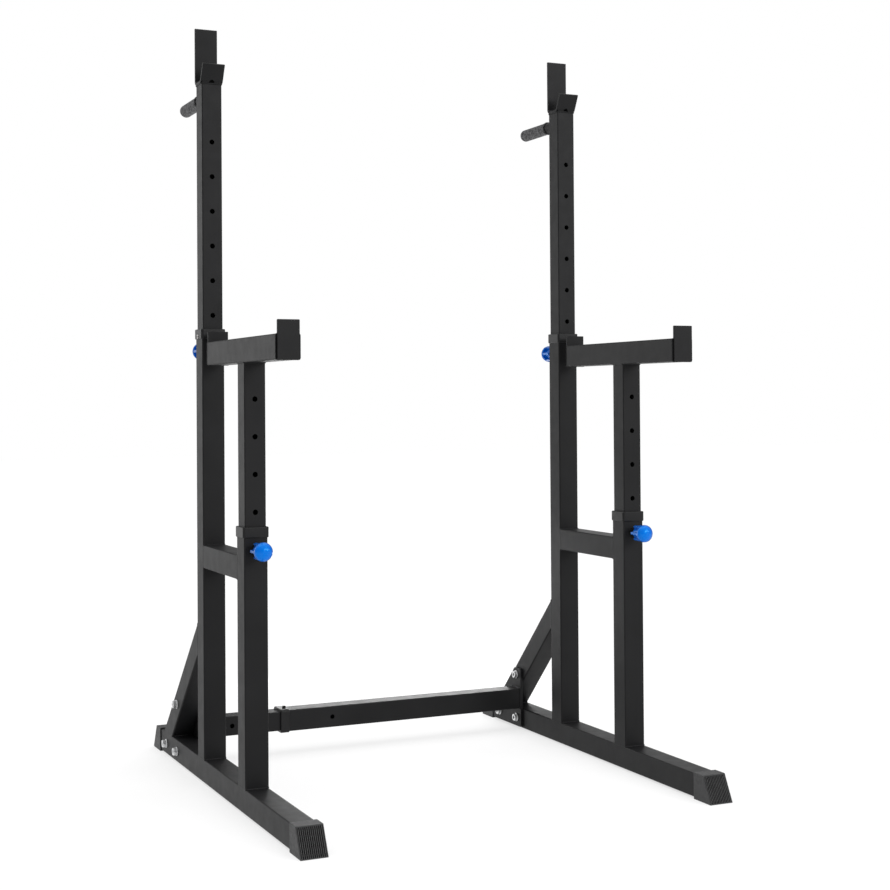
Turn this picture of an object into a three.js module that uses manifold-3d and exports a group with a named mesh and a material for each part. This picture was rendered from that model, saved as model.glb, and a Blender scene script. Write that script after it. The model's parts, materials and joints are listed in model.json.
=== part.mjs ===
// A squat stand: two like frames of square tube, joined low at the back by a telescoping crossbeam.
// Millimetres, +Z up, X from the left frame to the right one, the safety arms point towards -Y.
// The frames are built about their rear posts, and the whole group is moved at the end so that
// its footprint is centred on the origin.
import * as THREE from "three";
import { mergeVertices } from "three/addons/utils/BufferGeometryUtils.js";
import Module from "manifold-3d";

const wasm = await Module();
wasm.setup();

// Layout
const standSpacing = 887; // centre plane to centre plane of the two frames
const postSpacing = 296; // rear post centre to front post centre
const frontReach = 658; // rear post centre to the front tip of the base
const rearReach = 406; // rear post centre to the rear tip of the base

// Square tubes and the gap between faces that are welded or seated
const outerSide = 50;
const outerWall = 2;
const outerCorner = 3;
const innerSide = 45;
const innerWall = 2;
const innerCorner = 2.5;
const fitGap = 0.3;

// Foot caps: a sleeve on the tube's end with a raked, grooved end face
const soleThickness = 3;
const footWall = 2.5;
const footLength = 62;
const footRake = 28; // how much less the cap reaches at its top than at its sole
const footSocketDepth = 26;
const footEdge = 1.5;
const grooveCount = 13;
const grooveWidth = 1.6;
const grooveDepth = 1.4;
const grooveBorder = 3;

// Posts: heights above the floor
const rearPinHeight = 947;
const frontPinHeight = 534;
const pinBelowCollarTop = 46.5;
const catchAbovePin = 586; // underside of the bar catch above the rear pin
const armAbovePin = 379; // underside of the safety arm above the front pin
const rearInsertion = 247; // length of inner post below the rear pin
const frontInsertion = 162;
const holePitch = 76.2;
const holeRadius = 5.5;
const rearHoleCount = 7;
const frontHoleCount = 5;

// Plastic collars on the ends of the outer tubes
const collarHeight = 22;
const collarLip = 4;
const collarWall = 2.2;
const collarEdge = 1;
const collarClearance = 0.3;

// Sprung locking pins with their knobs, measured outwards from the post's face
const pinRadius = 5;
const pinClearance = 0.3;
const pinStandOff = 0.3; // from the pin's nose to the inner post
const pinShoulderRadius = 7;
const pinShoulderLength = 2;
const barrelRadius = 9;
const barrelBore = 7.4;
const barrelLength = 30;
const barrelEndWall = 2;
const weldNutRadius = 12;
const weldNutLength = 8;
const springWire = 0.5;
const springRadius = 6;
const springTurns = 4;
const knobStart = 17; // from the face to the knob's inner end
const knobRadius = 19.4;
const knobRimStart = 44;
const knobRimThickness = 3.5;
const knobDomeHeight = 12.5;
const knobHubRadius = 12.5;
const knobBore = 9.6;
const knobSocketDepth = 6; // how far the pin runs into the knob past the barrel
const ribCount = 6;
const ribWidth = 5.5;
const ribInnerEndRadius = 18.2;
const ribRimEndRadius = 18.5;

// Cross tube and rear brace
const crossBelowPin = 38; // its centre line below the front pin
const braceReach = 317; // rear post centre to where the brace's upper face meets the base

// Safety arm
const armGap = 32; // rear post's face to the arm's rear stop
const armLength = 472; // over both stop plates
const stopWidth = 45;
const stopThickness = 5;
const frontStopHeight = 77;
const rearStopHeight = 73;

// Bar catch: one bent strip
const catchWidth = 50;
const catchStrip = 5;
const catchDepth = 50;
const catchBend = 12; // outer radius of both bends
const catchLegHeight = 127.5;
const catchLipHeight = 39;
const catchLipLean = THREE.MathUtils.degToRad(27);
const drainRadius = 5.2;
const drainAngle = THREE.MathUtils.degToRad(-45);

// Round handle with its grip, behind the inner post
const handleDrop = 26; // its axis below the catch
const handleShowing = 44; // from the post's face to the grip
const handleRadius = 12.5;
const gripClearance = 0.3;
const gripLength = 126;
const gripRadius = 14.5;
const gripEnd = 4.5;
const gripRound = 6;
const flangeRadius = 15.8;
const flangeLength = 4;

// Crossbeam
const beamBehindPost = 203; // rear post centre to beam centre
const outerBeamLength = 632;
const innerBeamLength = 584;
const beamHolePitch = 62;
const beamFirstHole = 70; // from the inner tube's end plate
const beamHoleCount = 8;
const outerBeamHole = 126; // from the outer tube's open end
const lockScrewRadius = 3;
const lockHeadRadius = 4.5;
const lockHeadHeight = 4;
const lockHeadRound = 1.6;
const lockScrewInset = 12.4; // from the outer tube's open end

// End plates of the crossbeam and the bolts through the frames
const plateThickness = 6;
const plateLead = 27; // how far the plate reaches in front of the beam's centre
const plateTop = 153;
const plateBottom = 6;
const plateRear = 330;
const plateTopWidth = 34;
const plateCorner = 7;
const boltRadius = 5;
const boltClearance = 0.3;
const boltHeadFlats = 16;
const boltHeadHeight = 6.4;
const nutHeight = 8;
const washerRadius = 10;
const washerThickness = 2;
const boltTail = 1;
const boltBehindBeam = 91; // rear lower bolt, from the beam's centre
const upperBoltHeight = 136.5;
const boltLead = 4; // front bolts, in front of the beam's centre

// How finely curves are cut: an outline's arcs get two facets for each step
const cornerSteps = 1;
const bendSteps = 2;
const holeSides = 10;
const hexSides = 6;
const roundSides = 16;
const domeSteps = 3;
const springStepsPerTurn = 8;
const springSides = 5;
const cutOverrun = 4;
const weldTolerance = 1e-4;

// Values worked out from the ones above
const baseTop = soleThickness + outerSide;
const baseCentre = soleThickness + outerSide / 2;
const outerHalf = outerSide / 2;
const innerHalf = innerSide / 2;
const catchHeight = rearPinHeight + catchAbovePin;
const armHeight = frontPinHeight + armAbovePin;
const crossHeight = frontPinHeight - crossBelowPin;
const handleReach = handleShowing + gripLength; // from the post's face
const rearPostTop = rearPinHeight + pinBelowCollarTop - collarLip - fitGap;
const frontPostTop = frontPinHeight + pinBelowCollarTop - collarLip - fitGap;
const frameInnerFace = standSpacing / 2 - outerHalf;
const plateInnerFace = frameInnerFace - fitGap - plateThickness;
const beamHeight = baseTop + outerHalf;
const upperBolt = { label: "upper", y: beamBehindPost - boltLead, z: upperBoltHeight };
const lowerBolts = [
  { label: "front", y: beamBehindPost - boltLead, z: baseCentre },
  { label: "rear", y: beamBehindPost + boltBehindBeam, z: baseCentre },
];
const allBolts = [upperBolt, ...lowerBolts];

// Materials
function finish(color, roughness, metalness) {
  return new THREE.MeshStandardMaterial({ color, roughness, metalness });
}
const blackPaint = () => finish(0x1b1b1d, 0.45, 0.3);
const footRubber = () => finish(0x2a2a2c, 0.75, 0);
const collarPlastic = () => finish(0x242427, 0.5, 0);
const gripRubber = () => finish(0x2c2c2e, 0.85, 0);
const knobBlue = () => finish(0x0a6fe8, 0.3, 0);
const zincSteel = () => finish(0xc4c6c8, 0.35, 0.9);

// Solids: three.js geometry to a closed solid and back
function solidOf(geometry) {
  const loose = geometry.index ? geometry.toNonIndexed() : geometry;
  const bare = new THREE.BufferGeometry();
  bare.setAttribute("position", loose.getAttribute("position"));
  const merged = mergeVertices(bare, weldTolerance);
  const mesh = new wasm.Mesh({
    numProp: 3,
    vertProperties: merged.attributes.position.array,
    triVerts: new Uint32Array(merged.index.array),
  });
  return new wasm.Manifold(mesh);
}

function geometryOf(solid) {
  const mesh = solid.getMesh();
  const geometry = new THREE.BufferGeometry();
  geometry.setAttribute("position", new THREE.BufferAttribute(mesh.vertProperties, 3));
  geometry.setIndex(new THREE.BufferAttribute(mesh.triVerts, 1));
  const flat = geometry.toNonIndexed();
  flat.computeVertexNormals();
  return flat;
}

function join(...geometries) {
  return geometryOf(geometries.map(solidOf).reduce((whole, piece) => whole.add(piece)));
}

function cut(geometry, cutters) {
  const whole = solidOf(geometry);
  return geometryOf(cutters.map(solidOf).reduce((left, cutter) => left.subtract(cutter), whole));
}

// Outlines
function squareOutline(side, corner, outline = new THREE.Shape()) {
  const half = side / 2;
  const middle = half - corner;
  outline.moveTo(middle, -half);
  outline.absarc(middle, -middle, corner, -Math.PI / 2, 0, false);
  outline.absarc(middle, middle, corner, 0, Math.PI / 2, false);
  outline.absarc(-middle, middle, corner, Math.PI / 2, Math.PI, false);
  outline.absarc(-middle, -middle, corner, Math.PI, Math.PI * 1.5, false);
  outline.closePath();
  return outline;
}

function tubeOutline(side, wall, corner) {
  const outline = squareOutline(side, corner);
  outline.holes.push(squareOutline(side - wall * 2, corner - wall, new THREE.Path()));
  return outline;
}

// An outline pushed along Z from zero, with its edges broken by a small bevel if one is given.
function push(outline, length, edge = 0) {
  return new THREE.ExtrudeGeometry(outline, {
    depth: length - edge * 2,
    curveSegments: cornerSteps,
    bevelEnabled: edge > 0,
    bevelSize: edge,
    bevelOffset: -edge,
    bevelThickness: edge,
    bevelSegments: 1,
  }).translate(0, 0, edge);
}

// The same, laid so that it runs along +Y, with what was up still up.
function pushAlongY(outline, length, edge = 0) {
  return push(outline, length, edge).rotateX(-Math.PI / 2);
}

// The same, laid so that it runs along +X.
function pushAlongX(outline, length, edge = 0) {
  return push(outline, length, edge).rotateY(Math.PI / 2);
}

// An outline drawn with Y across and Z up, pushed along X and centred on zero.
function slab(outline, width, edge = 0) {
  return push(outline, width, edge)
    .translate(0, 0, -width / 2)
    .rotateX(Math.PI / 2)
    .rotateZ(Math.PI / 2);
}

// Round bars between two places on an axis.
function barAlongX(radius, from, to, y, z, sides = holeSides) {
  return new THREE.CylinderGeometry(radius, radius, to - from, sides)
    .rotateZ(-Math.PI / 2)
    .translate((from + to) / 2, y, z);
}

function barAlongY(radius, from, to, x, z, sides = holeSides) {
  return new THREE.CylinderGeometry(radius, radius, to - from, sides).translate(x, (from + to) / 2, z);
}

// A round solid about the Y axis from [radius, y] pairs that start and end on the axis or close.
function turned(profile, sides = roundSides) {
  return new THREE.LatheGeometry(
    profile.map(([radius, y]) => new THREE.Vector2(radius, y)),
    sides,
  );
}

// Heights of the adjustment holes of an inner post, from the locked one up.
function holeHeights(pinHeight, count) {
  return Array.from({ length: count }, (_, i) => pinHeight + i * holePitch);
}

// The base tube, drilled for the lower bolts.
function baseTube() {
  const front = -frontReach + footLength - footSocketDepth + fitGap;
  const rear = rearReach - footLength + footSocketDepth - fitGap;
  const tube = pushAlongY(tubeOutline(outerSide, outerWall, outerCorner), rear - front);
  tube.translate(0, front, baseCentre);
  return cut(tube, lowerBolts.map(frameBoltHole));
}

function frameBoltHole({ y, z }) {
  return barAlongX(boltRadius + boltClearance, -outerHalf - cutOverrun, outerHalf + cutOverrun, y, z);
}

// A foot cap that reaches along +Y from its open end at zero, with its sole on the floor.
function footCap() {
  const top = soleThickness + outerSide + footWall;
  const outline = new THREE.Shape([
    new THREE.Vector2(0, 0),
    new THREE.Vector2(footLength, 0),
    new THREE.Vector2(footLength - footRake, top),
    new THREE.Vector2(0, top),
  ]);
  const block = slab(outline, outerSide + footWall * 2, footEdge);
  const socketSide = outerSide + fitGap * 2;
  const socket = pushAlongY(squareOutline(socketSide, outerCorner), footSocketDepth + cutOverrun);
  socket.translate(0, -cutOverrun, baseCentre);
  return cut(block, [socket, ...footGrooves(top)]);
}

// Upright grooves across the raked face, inside a plain border.
function footGrooves(top) {
  const lean = Math.atan2(footRake, top);
  const slant = Math.hypot(footRake, top);
  const width = outerSide + footWall * 2 - grooveBorder * 2;
  const pitch = (width - grooveWidth) / (grooveCount - 1);
  return Array.from({ length: grooveCount }, (_, i) => {
    const x = -width / 2 + grooveWidth / 2 + i * pitch;
    return new THREE.BoxGeometry(grooveWidth, grooveDepth * 2, slant - grooveBorder * 2)
      .rotateX(lean)
      .translate(x, footLength - footRake / 2, top / 2);
  });
}

// A collar along +Z whose lip, at the top, guides the inner tube and whose skirt holds the outer one.
function collar() {
  const outside = outerSide + fitGap * 2 + collarWall * 2;
  const block = push(squareOutline(outside, outerCorner + collarWall), collarHeight, collarEdge);
  const guide = squareOutline(innerSide + collarClearance * 2, innerCorner);
  const socket = squareOutline(outerSide + fitGap * 2, outerCorner);
  return cut(block, [
    push(guide, collarHeight + cutOverrun * 2).translate(0, 0, -cutOverrun),
    push(socket, collarHeight - collarLip + cutOverrun).translate(0, 0, -cutOverrun),
  ]);
}

// An outer post from the base up to its top, with the pin's barrel on the face that looks along
// +Y or -Y, as outward is 1 or -1.
function outerPost(y, top, pinHeight, outward) {
  const bottom = baseTop + fitGap;
  const tube = push(tubeOutline(outerSide, outerWall, outerCorner), top - bottom);
  tube.translate(0, 0, bottom);
  const face = outerHalf;
  const root = face - outerWall / 2;
  const end = face + barrelLength;
  const nut = barAlongY(weldNutRadius, root, face + weldNutLength, 0, pinHeight, hexSides);
  const barrel = barAlongY(barrelRadius, root, end, 0, pinHeight, roundSides);
  const bore = barAlongY(barrelBore, face, end - barrelEndWall, 0, pinHeight);
  const pinWay = barAlongY(pinRadius + pinClearance, innerHalf, end + cutOverrun, 0, pinHeight);
  const post = cut(join(tube, nut, barrel), [bore, pinWay]);
  return turnOutward(post, outward).translate(0, y, 0);
}

// Turns a piece that looks along +Y to look along -Y when outward is -1.
function turnOutward(geometry, outward) {
  return outward > 0 ? geometry : geometry.rotateZ(Math.PI);
}

// An inner post with its adjustment holes through the front and back walls.
function innerPost(y, bottom, top, pinHeight, count) {
  const tube = push(tubeOutline(innerSide, innerWall, innerCorner), top - bottom).translate(0, 0, bottom);
  const reach = innerHalf + cutOverrun;
  const holes = holeHeights(pinHeight, count).map((z) => barAlongY(holeRadius, -reach, reach, 0, z));
  return cut(tube, holes).translate(0, y, 0);
}

// The locking pin: a plain rod with a shoulder that the spring pushes on.
function lockingPin() {
  const nose = pinStandOff - outerWall - (outerSide - outerWall * 2 - innerSide) / 2;
  const end = barrelLength + knobSocketDepth;
  return turned([
    [0, nose],
    [pinRadius, nose],
    [pinRadius, fitGap],
    [pinShoulderRadius, fitGap],
    [pinShoulderRadius, fitGap + pinShoulderLength],
    [pinRadius, fitGap + pinShoulderLength],
    [pinRadius, end],
    [0, end],
  ], holeSides);
}

// The spring between the pin's shoulder and the barrel's end wall.
class SpringPath extends THREE.Curve {
  getPoint(t) {
    const start = fitGap * 2 + pinShoulderLength + springWire;
    const end = barrelLength - barrelEndWall - fitGap - springWire;
    const angle = t * springTurns * Math.PI * 2;
    return new THREE.Vector3(
      springRadius * Math.cos(angle),
      THREE.MathUtils.lerp(start, end, t),
      springRadius * Math.sin(angle),
    );
  }
}

function pinSpring() {
  const section = Array.from({ length: springSides }, (_, i) =>
    pointOnCircle(0, 0, springWire, (i * Math.PI * 2) / springSides),
  );
  return new THREE.ExtrudeGeometry(new THREE.Shape(section), {
    steps: springTurns * springStepsPerTurn,
    extrudePath: new SpringPath(),
  });
}

// The knob: a hub round the barrel, ribs that open out to the rim, and a smooth dome.
function lobedKnob() {
  const rimEnd = knobRimStart + knobRimThickness;
  const boreEnd = barrelLength + fitGap;
  const pinEnd = barrelLength + knobSocketDepth + fitGap;
  const dome = Array.from({ length: domeSteps }, (_, i) => {
    const angle = ((i + 1) / domeSteps) * (Math.PI / 2);
    return [knobRadius * Math.cos(angle), rimEnd + knobDomeHeight * Math.sin(angle)];
  });
  dome[domeSteps - 1][0] = 0;
  const body = turned([
    [0, pinEnd],
    [pinRadius + pinClearance, pinEnd],
    [pinRadius + pinClearance, boreEnd],
    [knobBore, boreEnd],
    [knobBore, knobStart],
    [knobHubRadius, knobStart],
    [knobHubRadius, knobRimStart],
    [knobRadius, knobRimStart],
    [knobRadius, rimEnd],
    ...dome,
  ]);
  const ribInside = (knobBore + knobHubRadius) / 2;
  const rib = new THREE.Shape([
    new THREE.Vector2(ribInside, knobStart),
    new THREE.Vector2(ribInnerEndRadius, knobStart),
    new THREE.Vector2(ribRimEndRadius, knobRimStart + knobRimThickness / 2),
    new THREE.Vector2(ribInside, knobRimStart + knobRimThickness / 2),
  ]);
  const ribs = Array.from({ length: ribCount }, (_, i) =>
    push(rib, ribWidth).translate(0, 0, -ribWidth / 2).rotateY((i * Math.PI * 2) / ribCount),
  );
  return join(body, ...ribs);
}

// The bar catch, drawn with Y across and Z up from its underside, its tall leg at the back.
function barCatch() {
  const half = catchDepth / 2;
  const inside = catchBend - catchStrip;
  const backBend = half - catchBend;
  const frontBend = -half + catchBend;
  const lipStart = Math.PI + catchLipLean;
  const along = new THREE.Vector2(-Math.sin(catchLipLean), Math.cos(catchLipLean));
  const outerFoot = pointOnCircle(frontBend, catchBend, catchBend, lipStart);
  const lipLength = (catchLipHeight - outerFoot.y) / along.y;
  const outerTip = outerFoot.clone().addScaledVector(along, lipLength);
  const innerFoot = pointOnCircle(frontBend, catchBend, inside, lipStart);
  const innerTip = innerFoot.clone().addScaledVector(along, lipLength);
  const outline = new THREE.Shape();
  outline.moveTo(half, catchLegHeight);
  outline.lineTo(half - catchStrip, catchLegHeight);
  outline.absarc(backBend, catchBend, inside, 0, -Math.PI / 2, true);
  outline.absarc(frontBend, catchBend, inside, Math.PI * 1.5, lipStart, true);
  outline.lineTo(innerTip.x, innerTip.y);
  outline.lineTo(outerTip.x, outerTip.y);
  outline.absarc(frontBend, catchBend, catchBend, lipStart, Math.PI * 1.5, false);
  outline.absarc(backBend, catchBend, catchBend, -Math.PI / 2, 0, false);
  outline.closePath();
  const strip = new THREE.ExtrudeGeometry(outline, {
    depth: catchWidth,
    curveSegments: bendSteps,
    bevelEnabled: false,
  })
    .translate(0, 0, -catchWidth / 2)
    .rotateX(Math.PI / 2)
    .rotateZ(Math.PI / 2);
  const drain = new THREE.CylinderGeometry(drainRadius, drainRadius, catchBend, holeSides)
    .translate(0, catchBend, 0)
    .rotateX(Math.PI - drainAngle)
    .translate(0, frontBend, catchBend);
  return cut(strip, [drain]).translate(0, 0, catchHeight);
}

function pointOnCircle(x, y, radius, angle) {
  return new THREE.Vector2(x + radius * Math.cos(angle), y + radius * Math.sin(angle));
}

// The round handle and its grip, both along +Y from the back of the inner post.
function handleBar() {
  const start = innerHalf + fitGap;
  const end = innerHalf + handleReach - gripEnd - gripClearance;
  return barAlongY(handleRadius, start, end, 0, catchHeight - handleDrop, roundSides);
}

function handleGrip() {
  const end = innerHalf + handleReach;
  const start = end - gripLength;
  const bore = handleRadius + gripClearance;
  const round = Array.from({ length: domeSteps + 1 }, (_, i) => {
    const angle = (i / domeSteps) * (Math.PI / 2);
    const radius = gripRadius - gripRound + gripRound * Math.cos(angle);
    return [radius, end - gripRound + gripRound * Math.sin(angle)];
  });
  return turned([
    [0, end - gripEnd],
    [bore, end - gripEnd],
    [bore, start],
    [flangeRadius, start],
    [flangeRadius, start + flangeLength],
    [gripRadius, start + flangeLength],
    ...round,
    [0, end],
  ]).translate(0, 0, catchHeight - handleDrop);
}

// The safety arm's tube between its two stop plates, and the plates.
const armRear = -outerHalf - armGap;
const armFront = armRear - armLength;

function armTube() {
  const from = armFront + stopThickness + fitGap;
  const to = armRear - stopThickness - fitGap;
  const centre = armHeight + outerHalf;
  return pushAlongY(tubeOutline(outerSide, outerWall, outerCorner), to - from).translate(0, from, centre);
}

function stopPlate(y, height) {
  return new THREE.BoxGeometry(stopWidth, stopThickness, height).translate(0, y, armHeight + height / 2);
}

function crossTube() {
  const from = -postSpacing + outerHalf + fitGap;
  const to = -outerHalf - fitGap;
  const tube = pushAlongY(tubeOutline(outerSide, outerWall, outerCorner), to - from);
  return tube.translate(0, from, crossHeight);
}

// The brace: a tube at 45 degrees, cut flat against the post and the base, drilled for the upper bolt.
function rearBrace() {
  const centreReach = braceReach + baseTop - outerHalf * Math.SQRT2;
  const length = centreReach * Math.SQRT2;
  const tube = pushAlongY(tubeOutline(outerSide, outerWall, outerCorner), length)
    .translate(0, -length / 2, 0)
    .rotateX(-Math.PI / 4)
    .translate(0, centreReach / 2, centreReach / 2);
  const back = outerHalf + fitGap;
  const top = baseTop + fitGap;
  const room = new THREE.BoxGeometry(outerSide * 2, length, length);
  room.translate(0, back + length / 2, top + length / 2);
  const trimmed = geometryOf(solidOf(tube).intersect(solidOf(room)));
  return cut(trimmed, [frameBoltHole(upperBolt)]);
}

// The crossbeam's end plate, drawn with Y across and Z up; its slanted edge follows the brace.
function endPlate() {
  const lead = beamBehindPost - plateLead;
  const shoulder = lead + plateTopWidth;
  const drop = plateRear - shoulder;
  const corners = [
    new THREE.Vector2(lead, plateBottom),
    new THREE.Vector2(plateRear, plateBottom),
    new THREE.Vector2(plateRear, plateTop - drop),
    new THREE.Vector2(shoulder, plateTop),
    new THREE.Vector2(lead, plateTop),
  ];
  const plate = slab(roundedOutline(corners, plateCorner), plateThickness);
  const reach = plateThickness / 2 + cutOverrun;
  const clear = boltRadius + boltClearance;
  return cut(plate, allBolts.map(({ y, z }) => barAlongX(clear, -reach, reach, y, z)));
}

function roundedOutline(corners, radius) {
  const outline = new THREE.Shape();
  corners.forEach((corner, i) => {
    const before = corners[(i + corners.length - 1) % corners.length];
    const after = corners[(i + 1) % corners.length];
    const from = before.clone().sub(corner).setLength(radius).add(corner);
    const to = after.clone().sub(corner).setLength(radius).add(corner);
    if (i === 0) outline.moveTo(from.x, from.y);
    else outline.lineTo(from.x, from.y);
    outline.quadraticCurveTo(corner.x, corner.y, to.x, to.y);
  });
  outline.closePath();
  return outline;
}

// A through bolt along +X: head and washer inside the frame, washer and nut outside, zero at the
// frame's centre plane.
function throughBolt() {
  const inner = -outerHalf - fitGap - plateThickness - fitGap;
  const outer = outerHalf + fitGap;
  const headRadius = boltHeadFlats / 2 / Math.cos(Math.PI / hexSides);
  const seat = inner - washerThickness;
  const nutSeat = outer + washerThickness;
  const overlap = washerThickness / 2;
  return join(
    barAlongX(boltRadius, seat, nutSeat + nutHeight + boltTail, 0, 0),
    barAlongX(washerRadius, seat, inner, 0, 0, roundSides),
    barAlongX(washerRadius, outer, nutSeat, 0, 0, roundSides),
    barAlongX(headRadius, seat - boltHeadHeight, seat + overlap, 0, 0, hexSides),
    barAlongX(headRadius, nutSeat - overlap, nutSeat + nutHeight, 0, 0, hexSides),
  );
}

// Crossbeam, along X. The inner tube starts at the left end plate, the outer one ends at the right.
const innerBeamStart = -plateInnerFace + fitGap;
const outerBeamEnd = plateInnerFace - fitGap;
const outerBeamStart = outerBeamEnd - outerBeamLength;

function innerBeam() {
  const tube = pushAlongX(tubeOutline(innerSide, innerWall, innerCorner), innerBeamLength);
  const reach = innerHalf + cutOverrun;
  const first = beamFirstHole - fitGap;
  const holes = Array.from({ length: beamHoleCount }, (_, i) =>
    barAlongY(holeRadius, -reach, reach, first + i * beamHolePitch, 0),
  );
  return cut(tube, holes).translate(innerBeamStart, beamBehindPost, beamHeight);
}

function outerBeam() {
  const tube = pushAlongX(tubeOutline(outerSide, outerWall, outerCorner), outerBeamLength);
  const reach = outerHalf + cutOverrun;
  const hole = barAlongY(holeRadius, -reach, 0, outerBeamHole, 0);
  const screwWay = new THREE.CylinderGeometry(
    lockScrewRadius + boltClearance,
    lockScrewRadius + boltClearance,
    outerHalf + cutOverrun,
    holeSides,
  );
  screwWay.rotateX(Math.PI / 2).translate(lockScrewInset, 0, (outerHalf + cutOverrun) / 2);
  return cut(tube, [hole, screwWay]).translate(outerBeamStart, beamBehindPost, beamHeight);
}

function beamCollar() {
  const screwX = outerBeamStart + lockScrewInset;
  const start = outerBeamStart - collarLip - fitGap;
  const sleeve = collar()
    .rotateY(-Math.PI / 2)
    .translate(start + collarHeight, beamBehindPost, beamHeight);
  const height = outerHalf + collarWall + cutOverrun;
  const screwWay = new THREE.CylinderGeometry(
    lockScrewRadius + boltClearance,
    lockScrewRadius + boltClearance,
    height,
    holeSides,
  );
  screwWay.rotateX(Math.PI / 2).translate(screwX, beamBehindPost, beamHeight + height / 2);
  return cut(sleeve, [screwWay]);
}

function lockScrew() {
  const top = outerHalf + fitGap + collarWall;
  const tip = innerHalf + fitGap;
  return turned([
    [0, tip],
    [lockScrewRadius, tip],
    [lockScrewRadius, top + fitGap],
    [lockHeadRadius, top + fitGap],
    [lockHeadRadius, top + lockHeadHeight - lockHeadRound],
    [lockHeadRadius - lockHeadRound, top + lockHeadHeight],
    [0, top + lockHeadHeight],
  ], holeSides)
    .rotateX(Math.PI / 2)
    .translate(outerBeamStart + lockScrewInset, beamBehindPost, beamHeight);
}

// Scene: each piece is a named mesh, and a frame's pieces share that frame's group.
function add(group, name, geometry, material, x = 0, y = 0, z = 0) {
  const mesh = new THREE.Mesh(geometry, material);
  mesh.name = name;
  mesh.position.set(x, y, z);
  group.add(mesh);
  return mesh;
}

// A pin, its spring and its knob on the face of a post that looks along +Y or -Y.
function addPin(group, prefix, y, z, outward) {
  const face = y + outward * outerHalf;
  add(group, `${prefix}_pin`, turnOutward(lockingPin(), outward), zincSteel(), 0, face, z);
  add(group, `${prefix}_pin_spring`, turnOutward(pinSpring(), outward), zincSteel(), 0, face, z);
  add(group, `${prefix}_knob`, turnOutward(lobedKnob(), outward), knobBlue(), 0, face, z);
}

// One frame; inward is 1 where the crossbeam leaves towards +X and -1 where it leaves towards -X.
function frame(name, inward) {
  const group = new THREE.Group();
  const front = -postSpacing;
  const rearCollarStart = rearPostTop + fitGap + collarLip - collarHeight;
  const frontCollarStart = frontPostTop + fitGap + collarLip - collarHeight;
  const rearInnerBottom = rearPinHeight - rearInsertion;
  const frontInnerBottom = frontPinHeight - frontInsertion;
  const frontStopY = armFront + stopThickness / 2;
  const rearStopY = armRear - stopThickness / 2;

  add(group, `${name}_base_tube`, baseTube(), blackPaint());
  add(group, `${name}_front_foot`, footCap().rotateZ(Math.PI), footRubber(), 0, -frontReach + footLength);
  add(group, `${name}_rear_foot`, footCap(), footRubber(), 0, rearReach - footLength);

  add(group, `${name}_rear_post`, outerPost(0, rearPostTop, rearPinHeight, 1), blackPaint());
  add(group, `${name}_rear_collar`, collar(), collarPlastic(), 0, 0, rearCollarStart);
  const rearInner = innerPost(0, rearInnerBottom, catchHeight - fitGap, rearPinHeight, rearHoleCount);
  add(group, `${name}_rear_inner_post`, rearInner, blackPaint());
  add(group, `${name}_bar_catch`, barCatch(), blackPaint());
  add(group, `${name}_handle_bar`, handleBar(), blackPaint());
  add(group, `${name}_handle_grip`, handleGrip(), gripRubber());
  addPin(group, `${name}_rear`, 0, rearPinHeight, 1);

  add(group, `${name}_front_post`, outerPost(front, frontPostTop, frontPinHeight, -1), blackPaint());
  add(group, `${name}_front_collar`, collar(), collarPlastic(), 0, front, frontCollarStart);
  const frontInner = innerPost(front, frontInnerBottom, armHeight - fitGap, frontPinHeight, frontHoleCount);
  add(group, `${name}_front_inner_post`, frontInner, blackPaint());
  addPin(group, `${name}_front`, front, frontPinHeight, -1);

  add(group, `${name}_arm_tube`, armTube(), blackPaint());
  add(group, `${name}_arm_front_stop`, stopPlate(frontStopY, frontStopHeight), blackPaint());
  add(group, `${name}_arm_rear_stop`, stopPlate(rearStopY, rearStopHeight), blackPaint());
  add(group, `${name}_cross_tube`, crossTube(), blackPaint());
  add(group, `${name}_rear_brace`, rearBrace(), blackPaint());

  const plateX = inward * (outerHalf + fitGap + plateThickness / 2);
  add(group, `${name}_end_plate`, endPlate(), blackPaint(), plateX);
  for (const { label, y, z } of allBolts) {
    const bolt = inward < 0 ? throughBolt() : throughBolt().rotateZ(Math.PI);
    add(group, `${name}_${label}_bolt`, bolt, zincSteel(), 0, y, z);
  }
  return group;
}

const stand = new THREE.Group();
const left = frame("left", 1);
left.position.x = -standSpacing / 2;
const right = frame("right", -1);
right.position.x = standSpacing / 2;
stand.add(left, right);
add(stand, "beam_inner_tube", innerBeam(), blackPaint());
add(stand, "beam_outer_tube", outerBeam(), blackPaint());
add(stand, "beam_collar", beamCollar(), collarPlastic());
add(stand, "beam_lock_screw", lockScrew(), blackPaint());
stand.position.y = (frontReach - rearReach) / 2;

export default stand;
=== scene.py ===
"""The looks of a squat stand: rounded pieces with their welds, materials, camera and light.

Metres, +Z up, the safety arms point towards -Y. Places and sizes come from the boxes of the
frame's nodes wherever a box gives them.
"""

import json
import math

import bmesh
import bpy
from mathutils import Matrix, Vector

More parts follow.
